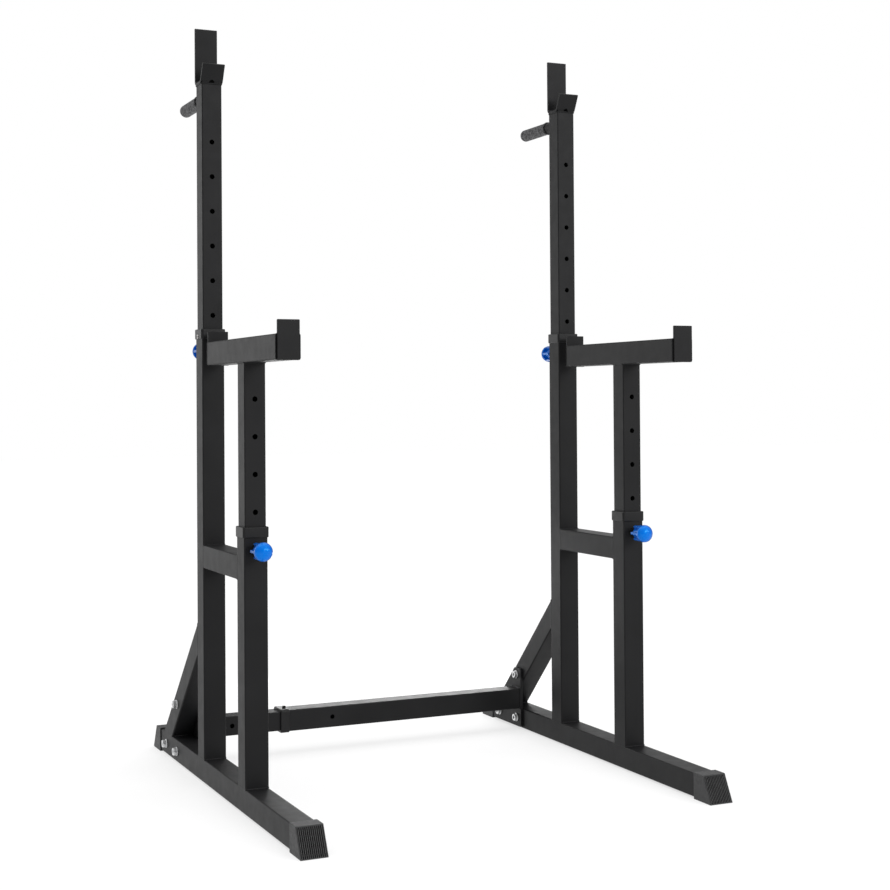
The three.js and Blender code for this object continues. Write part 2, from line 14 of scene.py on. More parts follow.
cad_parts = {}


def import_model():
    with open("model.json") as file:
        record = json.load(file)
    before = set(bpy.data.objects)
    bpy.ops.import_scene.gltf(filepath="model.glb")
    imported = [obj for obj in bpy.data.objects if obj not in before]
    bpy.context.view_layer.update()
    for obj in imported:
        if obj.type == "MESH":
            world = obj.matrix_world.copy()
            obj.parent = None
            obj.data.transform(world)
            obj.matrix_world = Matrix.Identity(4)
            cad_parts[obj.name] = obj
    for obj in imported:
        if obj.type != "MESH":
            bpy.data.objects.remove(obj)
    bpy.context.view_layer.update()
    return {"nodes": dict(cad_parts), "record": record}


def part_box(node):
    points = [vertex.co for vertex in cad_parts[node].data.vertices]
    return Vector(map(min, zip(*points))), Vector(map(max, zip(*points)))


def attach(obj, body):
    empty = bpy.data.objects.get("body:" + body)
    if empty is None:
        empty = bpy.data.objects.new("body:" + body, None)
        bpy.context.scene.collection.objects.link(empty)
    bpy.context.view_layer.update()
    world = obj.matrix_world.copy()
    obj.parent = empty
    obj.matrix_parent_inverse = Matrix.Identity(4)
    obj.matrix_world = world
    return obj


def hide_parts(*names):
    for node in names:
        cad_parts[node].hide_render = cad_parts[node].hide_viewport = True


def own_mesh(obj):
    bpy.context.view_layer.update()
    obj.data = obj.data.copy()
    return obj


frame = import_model()
record = frame["record"]
BODY_OF = {n: body for body, nodes in record["behaviour"]["bodies"].items() for n in nodes}
SLOT_OF = {part["node"]: part["material_slot"] for part in record["subparts"]}
SIDES = ("left", "right")

# Camera
CAMERA_PLACE = Vector((-1.4251, -3.2452, 0.8335))
CAMERA_YAW = math.radians(24.71)
CAMERA_PITCH = math.radians(0.61)
CAMERA_ROLL = math.radians(-0.37)
CAMERA_SENSOR = 36
CAMERA_LENS = 63.71
CAMERA_SHIFT_Y = -0.0689

# Square tubes: wall and outside corner radius of each size
OUTER_WALL = 0.002
OUTER_CORNER = 0.003
INNER_WALL = 0.002
INNER_CORNER = 0.0025

# Broken edges of tubes and plates
TUBE_EDGE = 0.0003
PLATE_EDGE = 0.0006

# Adjustment holes in the inner posts and the beam
HOLE_RADIUS = 0.0055
HOLE_PITCH = 0.0762
HOLE_COUNTS = {"rear": 7, "front": 5}
BEAM_HOLE_PITCH = 0.062
BEAM_FIRST_HOLE = 0.0697
BEAM_HOLE_COUNT = 8
OUTER_BEAM_HOLE = 0.126

# Pins: barrel, nut and knob on each post, measured outwards from the post's face
BARREL_RADIUS = 0.009
BARREL_LENGTH = 0.030
BARREL_CHAMFER = 0.00075
WELD_NUT_RADIUS = 0.012
WELD_NUT_LENGTH = 0.008
KNOB_RADIUS = 0.0194
KNOB_START = 0.017
KNOB_RIM = 0.044
KNOB_DOME_START = 0.0475
KNOB_TOP = 0.060
KNOB_HUB_RADIUS = 0.0125
KNOB_BORE = 0.0096
KNOB_BORE_END = 0.031
KNOB_EDGE = 0.000776
KNOB_BEVEL = 0.0004656
RIB_COUNT = 6
RIB_WIDTH = 0.0055
RIB_INNER_END = 0.0182
RIB_RIM_END = 0.0188

# Pin springs: radii of the wire and of the coil, and the climb of the closed turn at each end
SPRING_WIRE = 0.0005
SPRING_RADIUS = 0.006
SPRING_TURNS = 7
SPRING_END_RISE = 0.00105

# Foot caps
FOOT_RAKE = 0.028
FOOT_ROUND = 0.0022
FOOT_SOCKET = 0.0253
FOOT_SOCKET_DEPTH = 0.026
FOOT_SOLE = 0.003
RIB_PANEL_BORDER = 0.0026
RIB_PANEL_DEPTH = 0.0022
# Thickness of the near-black sheet of painted shade on the rib panel's floor
GROOVE_SHEET = 0.00055
FOOT_RIB_COUNT = 13
FOOT_RIB_SHARE = 0.4

# Collars
COLLAR_LIP = 0.004
COLLAR_ROUND = 0.0018
COLLAR_GUIDE = 0.0228
COLLAR_SOCKET = 0.0253

# Bar catch, and how far the front fillet's two beads keep from its middle
CATCH_STRIP = 0.005
CATCH_DEPTH = 0.050
CATCH_BEND = 0.012
CATCH_LIP_HEIGHT = 0.039
CATCH_LIP_LEAN = math.radians(27)
DRAIN_ANGLE = math.radians(-45)
DRAIN_RADIUS = 0.0052
# Thickness of the near-black disc of painted shade inside the drain hole
DRAIN_FLOOR = 0.001
FILLET_START = 0.006

# Handle grip
GRIP_RADIUS = 0.0145
GRIP_FLANGE = 0.0158
GRIP_FLANGE_LENGTH = 0.004
GRIP_ROUND = 0.006
GRIP_BORE = 0.0128

# Through bolts with their washers and nuts
BOLT_RADIUS = 0.005
BOLT_SOCKET_FLATS = 0.0076
BOLT_SOCKET_DEPTH = 0.0035
BOLT_CUP_RADIUS = 0.0037
WASHER_RADIUS = 0.010
WASHER_THICKNESS = 0.002
WASHER_EDGE = WASHER_THICKNESS / 6
# Thickness of the near-black discs of painted shade in the bolt's socket and end cup
HOLLOW_FLOOR = 0.001
HEX_FLATS = 0.016
HEAD_HEIGHT = 0.0064
HEAD_FACE_SHARE = 0.97
NUT_HEIGHT = 0.008
THREAD_DEPTH = 0.0004
THREAD_PITCH = 0.0015

# Button screws: the crossbeam's lock screw, and a flatter one on each rear collar
SCREW_CROWN_SHARE = 0.62
LOCK_SCREW = {"radius": 0.0045, "height": 0.0037, "drive_share": 0.42}
COLLAR_SCREW = {"radius": 0.0046, "height": 0.0022, "drive_share": 0.55}

# End plates
PLATE_TOP_WIDTH = 0.034
PLATE_CORNER = 0.007

# Welds
WELD_RADIUS = 0.0022
NUT_WELD_RADIUS = 0.00132
STOP_WELD_RADIUS = 0.00154
BEAM_WELD_RADIUS = 0.00264
WELD_STEP = 0.0015
WELD_RIPPLE_PITCH = 0.0042
WELD_RIPPLE_SHARE = 0.16
WELD_FLUSH = 0.00004

# How finely curves are cut
CORNER_STEPS = 5
BEND_STEPS = 9
FOOT_EDGE_STEPS = 3
ROUND_SIDES = 40
HEX_SIDES = 120
HOLE_SIDES = 24
WELD_SIDES = 8
SPRING_STEPS = 20

# Edges that turn by more than these angles stay sharp
SHARP_ANGLE = math.radians(40)
KNOB_SHARP_ANGLE = math.radians(50)
CATCH_SHARP_ANGLE = math.radians(35)
SCREW_SHARP_ANGLE = math.radians(30)
BOLT_SHARP_ANGLE = math.radians(25)

# Relief of each material's grain
PAINT_PEEL = 0.00005
RUBBER_GRAIN = 0.0001
COLLAR_GRAIN = 0.00006
GRIP_PEBBLES = 0.001
KNOB_GRAIN = 0.00003
STEEL_GRAIN = 0.00004

# Noise seldom leaves this range
NOISE_START = 0.3
NOISE_END = 0.7

# Floor
FLOOR_SIZE = 40
FLOOR_TONE = 0.3
FLOOR_DRIFT_SHARE = 1.04
FLOOR_GLOW = 0.67

# Lamps, in metres and watts
LAMPS = {
    "low_strip_behind": {
        "place": (0.45, 1.2, 0.27), "aim": (0.15, 0.3, 0.1), "size": (0.75, 0.24), "power": 3.6,
    },
    "card_in_front": {
        "place": (2.6, -5.5, 2.5), "aim": (0, 0, 1.2), "size": (4.5, 1.8), "power": 150,
    },
    "card_behind_left": {
        "place": (-5.5, 8.5, 2.2), "aim": (0, 0, 1.0), "size": (4.5, 4.0), "power": 114,
    },
    "card_behind_right": {
        "place": (3.6, 5.5, 1.6), "aim": (0, 0, 0.3), "size": (2.6, 1.0), "power": 10,
    },
}

# White world: its brightness where it is seen, and where it lights from the sides and from above
WHITE = (1, 1, 1, 1)
WORLD_SHOWN = 1.0
WORLD_LOW = 0.4
WORLD_HIGH = 2.25
WORLD_RISE = 3.0


# Materials
class Nodes:
    """The node tree of one new material, with short ways to add to it."""

    def __init__(self, name, color, roughness, metallic=0.0, specular=0.5):
        self.material = bpy.data.materials.new(name)
        self.material.use_nodes = True
        self.tree = self.material.node_tree
        self.shader = self.tree.nodes["Principled BSDF"]
        self.shader.inputs["Base Color"].default_value = (*color, 1)
        self.shader.inputs["Roughness"].default_value = roughness
        self.shader.inputs["Metallic"].default_value = metallic
        self.shader.inputs["Specular IOR Level"].default_value = specular
        self.place = self.tree.nodes.new("ShaderNodeTexCoord").outputs["Object"]

    def link(self, source, target):
        self.tree.links.new(source, target)

    def noise(self, scale, detail=2.0, roughness=0.5):
        node = self.tree.nodes.new("ShaderNodeTexNoise")
        node.inputs["Scale"].default_value = scale
        node.inputs["Detail"].default_value = detail
        node.inputs["Roughness"].default_value = roughness
        self.link(self.place, node.inputs["Vector"])
        return node.outputs["Fac"]

    def cells(self, scale):
        node = self.tree.nodes.new("ShaderNodeTexVoronoi")
        node.inputs["Scale"].default_value = scale
        self.link(self.place, node.inputs["Vector"])
        return node.outputs["Distance"]

    def spread(self, source, low, high, start=NOISE_START, end=NOISE_END):
        node = self.tree.nodes.new("ShaderNodeMapRange")
        node.inputs["From Min"].default_value = start
        node.inputs["From Max"].default_value = end
        node.inputs["To Min"].default_value = low
        node.inputs["To Max"].default_value = high
        self.link(source, node.inputs["Value"])
        return node.outputs["Result"]

    def tint(self, source, dark, light, start=NOISE_START, end=NOISE_END):
        node = self.tree.nodes.new("ShaderNodeValToRGB")
        node.color_ramp.elements[0].position = start
        node.color_ramp.elements[0].color = (*dark, 1)
        node.color_ramp.elements[1].position = end
        node.color_ramp.elements[1].color = (*light, 1)
        self.link(source, node.inputs["Fac"])
        self.link(node.outputs["Color"], self.shader.inputs["Base Color"])

    def rim(self):
        """0 where the surface faces the eye, 1 where it turns away from it."""
        return self.tree.nodes.new("ShaderNodeLayerWeight").outputs["Facing"]

    def roughen(self, source, low, high):
        self.link(self.spread(source, low, high), self.shader.inputs["Roughness"])

    def bump(self, source, height, strength=1.0):
        node = self.tree.nodes.new("ShaderNodeBump")
        node.inputs["Strength"].default_value = strength
        node.inputs["Distance"].default_value = height
        self.link(source, node.inputs["Height"])
        self.link(node.outputs["Normal"], self.shader.inputs["Normal"])


def powder_coat():
    """Satin black powder coat: a fine orange peel, and a faint drift in tone and gloss."""
    nodes = Nodes("satin_black_powder_coat", (0.007, 0.007, 0.0075), 0.4, specular=0.15)
    nodes.tint(nodes.noise(9), (0.0078, 0.0078, 0.00832), (0.01105, 0.01105, 0.0117))
    nodes.roughen(nodes.noise(38, detail=3), 0.44, 0.5)
    nodes.bump(nodes.noise(900, roughness=0.6), PAINT_PEEL, strength=0.4)
    return nodes.material


def foot_rubber():
    nodes = Nodes("moulded_foot_rubber", (0.026, 0.026, 0.027), 0.5, specular=0.42)
    nodes.tint(nodes.noise(70, detail=4, roughness=0.6), (0.021, 0.021, 0.022), (0.031, 0.031, 0.032))
    nodes.roughen(nodes.noise(160, detail=3), 0.48, 0.62)
    nodes.bump(nodes.noise(900, detail=3, roughness=0.7), RUBBER_GRAIN, strength=0.5)
    return nodes.material


def rib_highlight_rubber():
    """The crests of the ribs on a foot cap's raked face, painted lighter than the foot rubber: a
    painted highlight where they catch the light.
    """
    nodes = Nodes("foot_rib_painted_highlight", (0.045, 0.045, 0.046), 0.5, specular=0.5)
    nodes.tint(nodes.noise(90, detail=4, roughness=0.6), (0.036, 0.036, 0.037), (0.054, 0.054, 0.055))
    nodes.bump(nodes.noise(900, detail=3, roughness=0.7), RUBBER_GRAIN, strength=0.5)
    return nodes.material


def painted_shade_black():
    """Near-black painted shade, for the floor of each groove in a foot cap's raked face where little
    light reaches, and for discs in the drain hole, screw socket and bolt ends.
    """
    nodes = Nodes("painted_shade_near_black", (0.004, 0.004, 0.0042), 0.8, specular=0.1)
    nodes.tint(nodes.noise(90, detail=4, roughness=0.6), (0.003, 0.003, 0.0032), (0.006, 0.006, 0.0062))
    nodes.bump(nodes.noise(900, detail=3, roughness=0.7), RUBBER_GRAIN, strength=0.5)
    return nodes.material


def collar_plastic():
    nodes = Nodes("fine_grained_black_plastic", (0.0075, 0.0075, 0.008), 0.38, specular=0.22)
    nodes.tint(nodes.noise(45, detail=3), (0.0063, 0.0063, 0.0067), (0.009, 0.009, 0.0095))
    nodes.bump(nodes.noise(1500, roughness=0.6), COLLAR_GRAIN, strength=0.5)
    return nodes.material


def grip_rubber():
    """Speckled, pebbled rubber."""
    nodes = Nodes("pebbled_grip_rubber", (0.05, 0.05, 0.052), 0.7)
    specks = nodes.noise(190, roughness=0.7)
    nodes.tint(specks, (0.006, 0.006, 0.007), (0.12, 0.12, 0.125), start=0.42, end=0.62)
    nodes.bump(nodes.cells(300), GRIP_PEBBLES)
    return nodes.material


def knob_plastic():
    """Glossy blue plastic with painted shade: its colour deepens where the surface curves away from the
    eye.
    """
    nodes = Nodes("glossy_blue_plastic", (0.0, 0.12, 0.61), 0.2)
    # Painted shade: the base colour darkens towards the knob's outline, where the surface turns from
    # the eye
    nodes.tint(nodes.rim(), (0.0, 0.124, 0.63), (0.0, 0.06, 0.26), start=0.35, end=0.9)
    shine = nodes.spread(nodes.rim(), 1.0, 0.1, start=0.3, end=0.8)
    nodes.link(shine, nodes.shader.inputs["Specular IOR Level"])
    nodes.shader.inputs["Specular Tint"].default_value = (0.0, 0.6, 1.0, 1)
    nodes.shader.inputs["Coat Weight"].default_value = 0.2
    nodes.shader.inputs["Coat Roughness"].default_value = 0.12
    nodes.roughen(nodes.noise(200, detail=4), 0.3, 0.36)
    nodes.bump(nodes.noise(500), KNOB_GRAIN, strength=0.3)
    return nodes.material


def zinc_steel():
    nodes = Nodes("bright_zinc_plating", (0.7, 0.71, 0.72), 0.35, metallic=0.9)
    nodes.tint(nodes.noise(300, detail=3), (0.6, 0.61, 0.63), (0.8, 0.8, 0.79))
    nodes.roughen(nodes.noise(900, detail=4), 0.28, 0.45)
    nodes.bump(nodes.noise(1400), STEEL_GRAIN, strength=0.4)
    return nodes.material


def dull_steel():
    """Bare steel that has lost its shine."""
    nodes = Nodes("dull_screw_steel", (0.5, 0.49, 0.48), 0.42, metallic=1.0)
    nodes.tint(nodes.noise(400, detail=3), (0.44, 0.43, 0.42), (0.56, 0.55, 0.54))
    nodes.bump(nodes.noise(1400), STEEL_GRAIN, strength=0.4)
    return nodes.material


MATERIALS = {
    "frame_paint": powder_coat(),
    "foot_rubber": foot_rubber(),
    "collar_plastic": collar_plastic(),
    "grip_rubber": grip_rubber(),
    "knob_plastic": knob_plastic(),
    "zinc_steel": zinc_steel(),
}
# Near-black material for painted shade in the foot caps' panels, the drain hole, the screw socket and
# the bolts
PAINTED_SHADE = painted_shade_black()
DULL_STEEL = dull_steel()
# Lighter rubber for the foot caps' rib crests: a painted highlight
RIB_HIGHLIGHT = rib_highlight_rubber()


# Shapes: rings of points, lofted into a bmesh
def square_ring(side, corner, z):
    """A rounded square about the Z axis, counter-clockwise seen from above."""
    middle = side / 2 - corner
    points = []
    for quarter, (right, back) in enumerate([(1, -1), (1, 1), (-1, 1), (-1, -1)]):
        for step in range(CORNER_STEPS + 1):
            angle = (quarter - 1 + step / CORNER_STEPS) * math.pi / 2
            x = right * middle + corner * math.cos(angle)
            y = back * middle + corner * math.sin(angle)
            points.append(Vector((x, y, z)))
    return points


def round_ring(radius, z, sides=ROUND_SIDES):
    return [
        Vector((radius * math.cos(turn), radius * math.sin(turn), z))
        for turn in (i / sides * math.tau for i in range(sides))
    ]


def hex_ring(flats, limit, z):
    """A hexagon whose corners are cut off by a circle of radius limit."""
    points = []
    for i in range(HEX_SIDES):
        turn = i / HEX_SIDES * math.tau
        off_flat = (turn + math.pi / 6) % (math.pi / 3) - math.pi / 6
        radius = min(flats / 2 / math.cos(off_flat), limit)
        points.append(Vector((radius * math.cos(turn), radius * math.sin(turn), z)))
    return points


def loft(mesh, rings, place=Matrix(), loop=False):
    """Skins closed rings of equal counts; the ends are capped, or joined to each other in a loop."""
    made = [[mesh.verts.new(place @ point) for point in ring] for ring in rings]
    pairs = list(zip(made, made[1:]))
    if loop:
        pairs.append((made[-1], made[0]))
    count = len(made[0])
    for low, high in pairs:
        for i in range(count):
            j = (i + 1) % count
            mesh.faces.new((low[i], low[j], high[j], high[i]))
    if not loop:
        mesh.faces.new(made[0][::-1])
        mesh.faces.new(made[-1])


def square_tube(mesh, side, wall, corner, length, place):
    inner = side - wall * 2
    inner_corner = max(corner - wall, wall / 4)
    rings = [
        square_ring(side - TUBE_EDGE * 2, corner - TUBE_EDGE, 0),
        square_ring(side, corner, TUBE_EDGE),
        square_ring(side, corner, length - TUBE_EDGE),
        square_ring(side - TUBE_EDGE * 2, corner - TUBE_EDGE, length),
        square_ring(inner, inner_corner, length),
        square_ring(inner, inner_corner, 0),
    ]
    loft(mesh, rings, place, loop=True)


def turned(mesh, profile, place, sides=ROUND_SIDES):
    """A round shape about the Z axis from (radius, z) pairs."""
    loft(mesh, [round_ring(radius, z, sides) for radius, z in profile], place)


def pushed(mesh, outline, width, place):
    """A flat outline of (y, z) points pushed along X, centred on zero."""
    rings = [[Vector((x, y, z)) for y, z in outline] for x in (-width / 2, width / 2)]
    loft(mesh, rings, place)


def rectangle(half):
    """The four corners of a rectangle about zero, from its half width and half height."""
    return [(-half.x, -half.y), (half.x, -half.y), (half.x, half.y), (-half.x, half.y)]


def quarter_turns(steps):
    """Angles from 0 to a right angle."""
    return [i / steps * math.pi / 2 for i in range(steps + 1)]


def rounded(corners, radius):
    """A polygon of (y, z) corners with each corner rounded."""
    points = []
    for i, corner in enumerate(corners):
        point = Vector(corner)
        before = (Vector(corners[i - 1]) - point).normalized()
        after = (Vector(corners[(i + 1) % len(corners)]) - point).normalized()
        half = before.angle(after) / 2
        centre = point + (before + after).normalized() * (radius / math.sin(half))
        start = point + before * (radius / math.tan(half)) - centre
        sweep = start.angle_signed(point + after * (radius / math.tan(half)) - centre)
        for step in range(CORNER_STEPS + 1):
            points.append(centre + Matrix.Rotation(-sweep * step / CORNER_STEPS, 2) @ start)
    return [tuple(point) for point in points]


def arc(centre, radius, start, end, steps=BEND_STEPS):
    """Points of an arc in the (y, z) plane."""
    angles = [start + (end - start) * i / steps for i in range(steps + 1)]
    return [(centre[0] + radius * math.cos(a), centre[1] + radius * math.sin(a)) for a in angles]


ALONG_X = Matrix.Rotation(math.pi / 2, 4, "Y")
ALONG_Y = Matrix.Rotation(-math.pi / 2, 4, "X")
QUARTER_TURN = Matrix.Rotation(math.pi / 2, 4, "Z")


def outward(direction):
    """Turns a shape about the Z axis to look along +Y or -Y."""
    return Matrix.Rotation(-direction * math.pi / 2, 4, "X")


def at(x, y, z):
    return Matrix.Translation((x, y, z))


# Pieces: objects made from shapes, dressed as the frame's nodes
def object_of(mesh, name):
    bmesh.ops.recalc_face_normals(mesh, faces=mesh.faces)
    data = bpy.data.meshes.new(name)
    mesh.to_mesh(data)
    mesh.free()
    piece = bpy.data.objects.new(name, data)
    bpy.context.scene.collection.objects.link(piece)
    return piece


def cut(piece, cutter_mesh):
    """Takes the cutter's shapes out of the piece for good."""
    cutter = object_of(cutter_mesh, piece.name + "_cutter")
    boolean = piece.modifiers.new("cut", "BOOLEAN")
    boolean.operation = "DIFFERENCE"
    boolean.solver = "EXACT"
    boolean.object = cutter
    left = bpy.data.meshes.new_from_object(piece.evaluated_get(bpy.context.evaluated_depsgraph_get()))
    piece.modifiers.clear()
    old = piece.data
    piece.data = left
    bpy.data.meshes.remove(old)
    bpy.data.objects.remove(cutter)
    return piece


def drill(piece, places, depth, radius=HOLE_RADIUS):
    """Takes a round hole out of the piece at each place."""
    holes = bmesh.new()
    for place in places:
        turned(holes, [(radius, 0), (radius, depth)], place, HOLE_SIDES)
    return cut(piece, holes)


def finish(piece, edge=0.0, sharp_angle=SHARP_ANGLE, edge_steps=2):
    """Breaks sharp edges and shades the rest smoothly."""
    if edge:
        bevel = piece.modifiers.new("edges", "BEVEL")
        bevel.width = edge
        bevel.segments = edge_steps
        bevel.limit_method = "ANGLE"
        bevel.angle_limit = sharp_angle
        bevel.use_clamp_overlap = True
    piece.data.shade_smooth()
    piece.data.set_sharp_from_angle(angle=sharp_angle)
    weighted = piece.modifiers.new("shading", "WEIGHTED_NORMAL")
    weighted.keep_sharp = True
    return piece


def dress(piece, node, stands_for_it=True, material=None):
    """Gives the piece the node's body, slot and material."""
    slot = SLOT_OF[node]
    piece.data.materials.clear()
    piece.data.materials.append(material or MATERIALS[slot])
    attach(piece, BODY_OF[node])
    if stands_for_it:
        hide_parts(node)
    return piece


def stand_in(mesh, node, edge=0.0, sharp_angle=SHARP_ANGLE):
    """The piece that is shown in place of a node."""
    return dress(finish(object_of(mesh, f"{node}_look"), edge, sharp_angle), node)


def trim(mesh, node, label, material=None):
    """A piece that is shown along with a node's own."""
    piece = finish(object_of(mesh, f"{node}_{label}"))
    dress(piece, node, stands_for_it=False, material=material)


def box_of(node):
    """The node's lowest and highest corners, and its middle."""
    low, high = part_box(node)
    return low, high, (low + high) / 2


def middle_of(node):
    return box_of(node)[2]


def post_y(node):
    """Centre line of the post that a node belongs to."""
    side = node.split("_")[0]
    return middle_of(f"{side}_{'front' if 'front' in node else 'rear'}_inner_post").y


def width_of(node):
    low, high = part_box(node)
    return high.x - low.x


# Widths of the two sizes of square tube
OUTER_SIDE = width_of("left_cross_tube")
INNER_SIDE = width_of("left_rear_inner_post")


def weld(node, label, path, normal, radius=WELD_RADIUS, flush_x=None):
    """A rippled bead along a closed path in the plane of the normal. Where the pieces' sides are
    flush, flush_x gives the middle and the half-width that the bead is ground down to."""
    points = resample(path, WELD_STEP)
    mesh = bmesh.new()
    rings = []
    along = 0.0
    for i, point in enumerate(points):
        after = points[(i + 1) % len(points)]
        side = (after - points[i - 1]).cross(normal).normalized()
        ripple = 1 - WELD_RIPPLE_SHARE * abs(math.sin(math.pi * along / WELD_RIPPLE_PITCH))
        along += (after - point).length
        ring = []
        for k in range(WELD_SIDES):
            turn = k / WELD_SIDES * math.tau
            off = (side * math.cos(turn) + normal * math.sin(turn)) * radius * ripple
            ring.append(point + off)
        rings.append(ring)
    if flush_x:
        middle, half = flush_x
        for ring in rings:
            for point in ring:
                point.x = min(max(point.x, middle - half - WELD_FLUSH), middle + half + WELD_FLUSH)
    loft(mesh, rings, loop=True)
    bead = object_of(mesh, f"{node}_weld_{label}")
    bead.data.shade_smooth()
    dress(bead, node, stands_for_it=False)


def resample(path, step):
    """Points about one step apart along a closed path."""
    spans = [(a, b, (b - a).length) for a, b in zip(path, path[1:] + path[:1])]
    total = sum(length for _, _, length in spans)
    count = round(total / step)
    wanted = [i * total / count for i in range(count)]
    points = []
    done = 0.0
    spans_left = iter(spans)
    start, end, length = next(spans_left)
    for distance in wanted:
        while distance > done + length:
            done += length
            start, end, length = next(spans_left)
        points.append(start.lerp(end, (distance - done) / length))
    return points


# Frame tubes
def upright_tube(node, wall, corner, side):
    """An upright tube as tall as its node, on its post's centre line."""
    low, high, middle = box_of(node)
    mesh = bmesh.new()
    square_tube(mesh, side, wall, corner, high.z - low.z, at(middle.x, post_y(node), low.z))
    return mesh


def level_tube(node, axis):
    """A level tube that fills its node's box along X or Y."""
    low, high, middle = box_of(node)
    side = high.z - low.z
    inner = side < OUTER_SIDE - TUBE_EDGE
    wall, corner = (INNER_WALL, INNER_CORNER) if inner else (OUTER_WALL, OUTER_CORNER)
    mesh = bmesh.new()
    if axis == "X":
        place = at(low.x, middle.y, middle.z) @ ALONG_X
        square_tube(mesh, side, wall, corner, high.x - low.x, place)
    else:
        place = at(middle.x, low.y, middle.z) @ ALONG_Y
        square_tube(mesh, side, wall, corner, high.y - low.y, place)
    return mesh


def base_tube(side):
    node = f"{side}_base_tube"
    stand_in(level_tube(node, "Y"), node)


def outer_post(side, which, direction):
    """The outer post with its pin's welded nut and barrel."""
    node = f"{side}_{which}_post"
    low, _, middle = box_of(node)
    y = post_y(node)
    mesh = upright_tube(node, OUTER_WALL, OUTER_CORNER, OUTER_SIDE)
    face = y + direction * OUTER_SIDE / 2
    place = at(middle.x, face, middle_of(f"{side}_{which}_knob").z) @ outward(direction)
    turned(mesh, [
        (BARREL_RADIUS, -OUTER_WALL / 2),
        (BARREL_RADIUS, BARREL_LENGTH - BARREL_CHAMFER),
        (BARREL_RADIUS - BARREL_CHAMFER, BARREL_LENGTH),
    ], place)
    flats = WELD_NUT_RADIUS * math.sqrt(3)
    loft(mesh, [
        hex_ring(flats, WELD_NUT_RADIUS, -OUTER_WALL / 2),
        hex_ring(flats, WELD_NUT_RADIUS, WELD_NUT_LENGTH - BARREL_CHAMFER),
        hex_ring(flats - BARREL_CHAMFER / 2, WELD_NUT_RADIUS - BARREL_CHAMFER, WELD_NUT_LENGTH),
    ], place)
    stand_in(mesh, node)
    foot = [Vector((middle.x, y, low.z)) + point for point in square_ring(OUTER_SIDE, OUTER_CORNER, 0)]
    weld(node, "foot", foot, Vector((0, 0, 1)), flush_x=(middle.x, OUTER_SIDE / 2))
    ring = [place @ point for point in round_ring(WELD_NUT_RADIUS, 0)]
    weld(node, "nut", ring, Vector((0, 1, 0)), NUT_WELD_RADIUS)


def inner_post(side, which, top_weld):
    """The inner post with its column of adjustment holes, from the locked one up."""
    node = f"{side}_{which}_inner_post"
    _, high, middle = box_of(node)
    piece = object_of(upright_tube(node, INNER_WALL, INNER_CORNER, INNER_SIDE), f"{node}_look")
    locked = middle_of(f"{side}_{which}_knob").z
    places = [
        at(middle.x, middle.y - INNER_SIDE, locked + i * HOLE_PITCH) @ ALONG_Y
        for i in range(HOLE_COUNTS[which])
    ]
    dress(finish(drill(piece, places, INNER_SIDE * 2), TUBE_EDGE), node)
    top = [Vector((middle.x, middle.y, high.z)) + p for p in square_ring(INNER_SIDE, INNER_CORNER, 0)]
    weld(node, top_weld, top, Vector((0, 0, 1)))


def end_welds(node, side, radius=WELD_RADIUS, flush=False):
    """A bead round both ends of a tube that lies along Y."""
    low, high, middle = box_of(node)
    for label, y in (("front", low.y), ("rear", high.y)):
        place = at(middle.x, y, middle.z) @ ALONG_Y
        ring = [place @ point for point in square_ring(side, OUTER_CORNER, 0)]
        weld(node, label, ring, Vector((0, 1, 0)), radius, (middle.x, side / 2) if flush else None)


def safety_arm(side):
    node = f"{side}_arm_tube"
    stand_in(level_tube(node, "Y"), node)
    end_welds(node, OUTER_SIDE - WELD_RADIUS / 2, STOP_WELD_RADIUS)
    for end in ("front", "rear"):
        stop_plate(f"{side}_arm_{end}_stop")


def stop_plate(node):
    """An upright plate with slightly rounded corners."""
    low, high, middle = box_of(node)
    size = high - low
    outline = rounded(rectangle(Vector((size.x / 2, size.z / 2))), OUTER_CORNER / 2)
    mesh = bmesh.new()
    pushed(mesh, outline, size.y, Matrix.Translation(middle) @ QUARTER_TURN)
    stand_in(mesh, node, PLATE_EDGE)


def cross_tube(side):
    node = f"{side}_cross_tube"
    stand_in(level_tube(node, "Y"), node)
    end_welds(node, OUTER_SIDE, flush=True)


def rear_brace(side):
    """A tube at 45 degrees between the post's back face and the base's top."""
    node = f"{side}_rear_brace"
    low, high, middle = box_of(node)
    line = high.z + low.y - OUTER_SIDE / math.sqrt(2)

    def ends(ring):
        x = middle.x
        upper = [Vector((x + p.x, low.y, line + p.y * math.sqrt(2) - low.y)) for p in ring]
        lower = [Vector((x + p.x, line + p.y * math.sqrt(2) - low.z, low.z)) for p in ring]
        return upper, lower

    outer_top, outer_foot = ends(square_ring(OUTER_SIDE, OUTER_CORNER, 0))
    inner = square_ring(OUTER_SIDE - OUTER_WALL * 2, OUTER_CORNER - OUTER_WALL, 0)
    inner_top, inner_foot = ends(inner)
    mesh = bmesh.new()
    loft(mesh, [outer_top, outer_foot, inner_foot, inner_top], loop=True)
    stand_in(mesh, node)
    flush = (middle.x, OUTER_SIDE / 2)
    weld(node, "top", outer_top, Vector((0, 1, 0)), flush_x=flush)
    weld(node, "foot", outer_foot, Vector((0, 0, 1)), flush_x=flush)


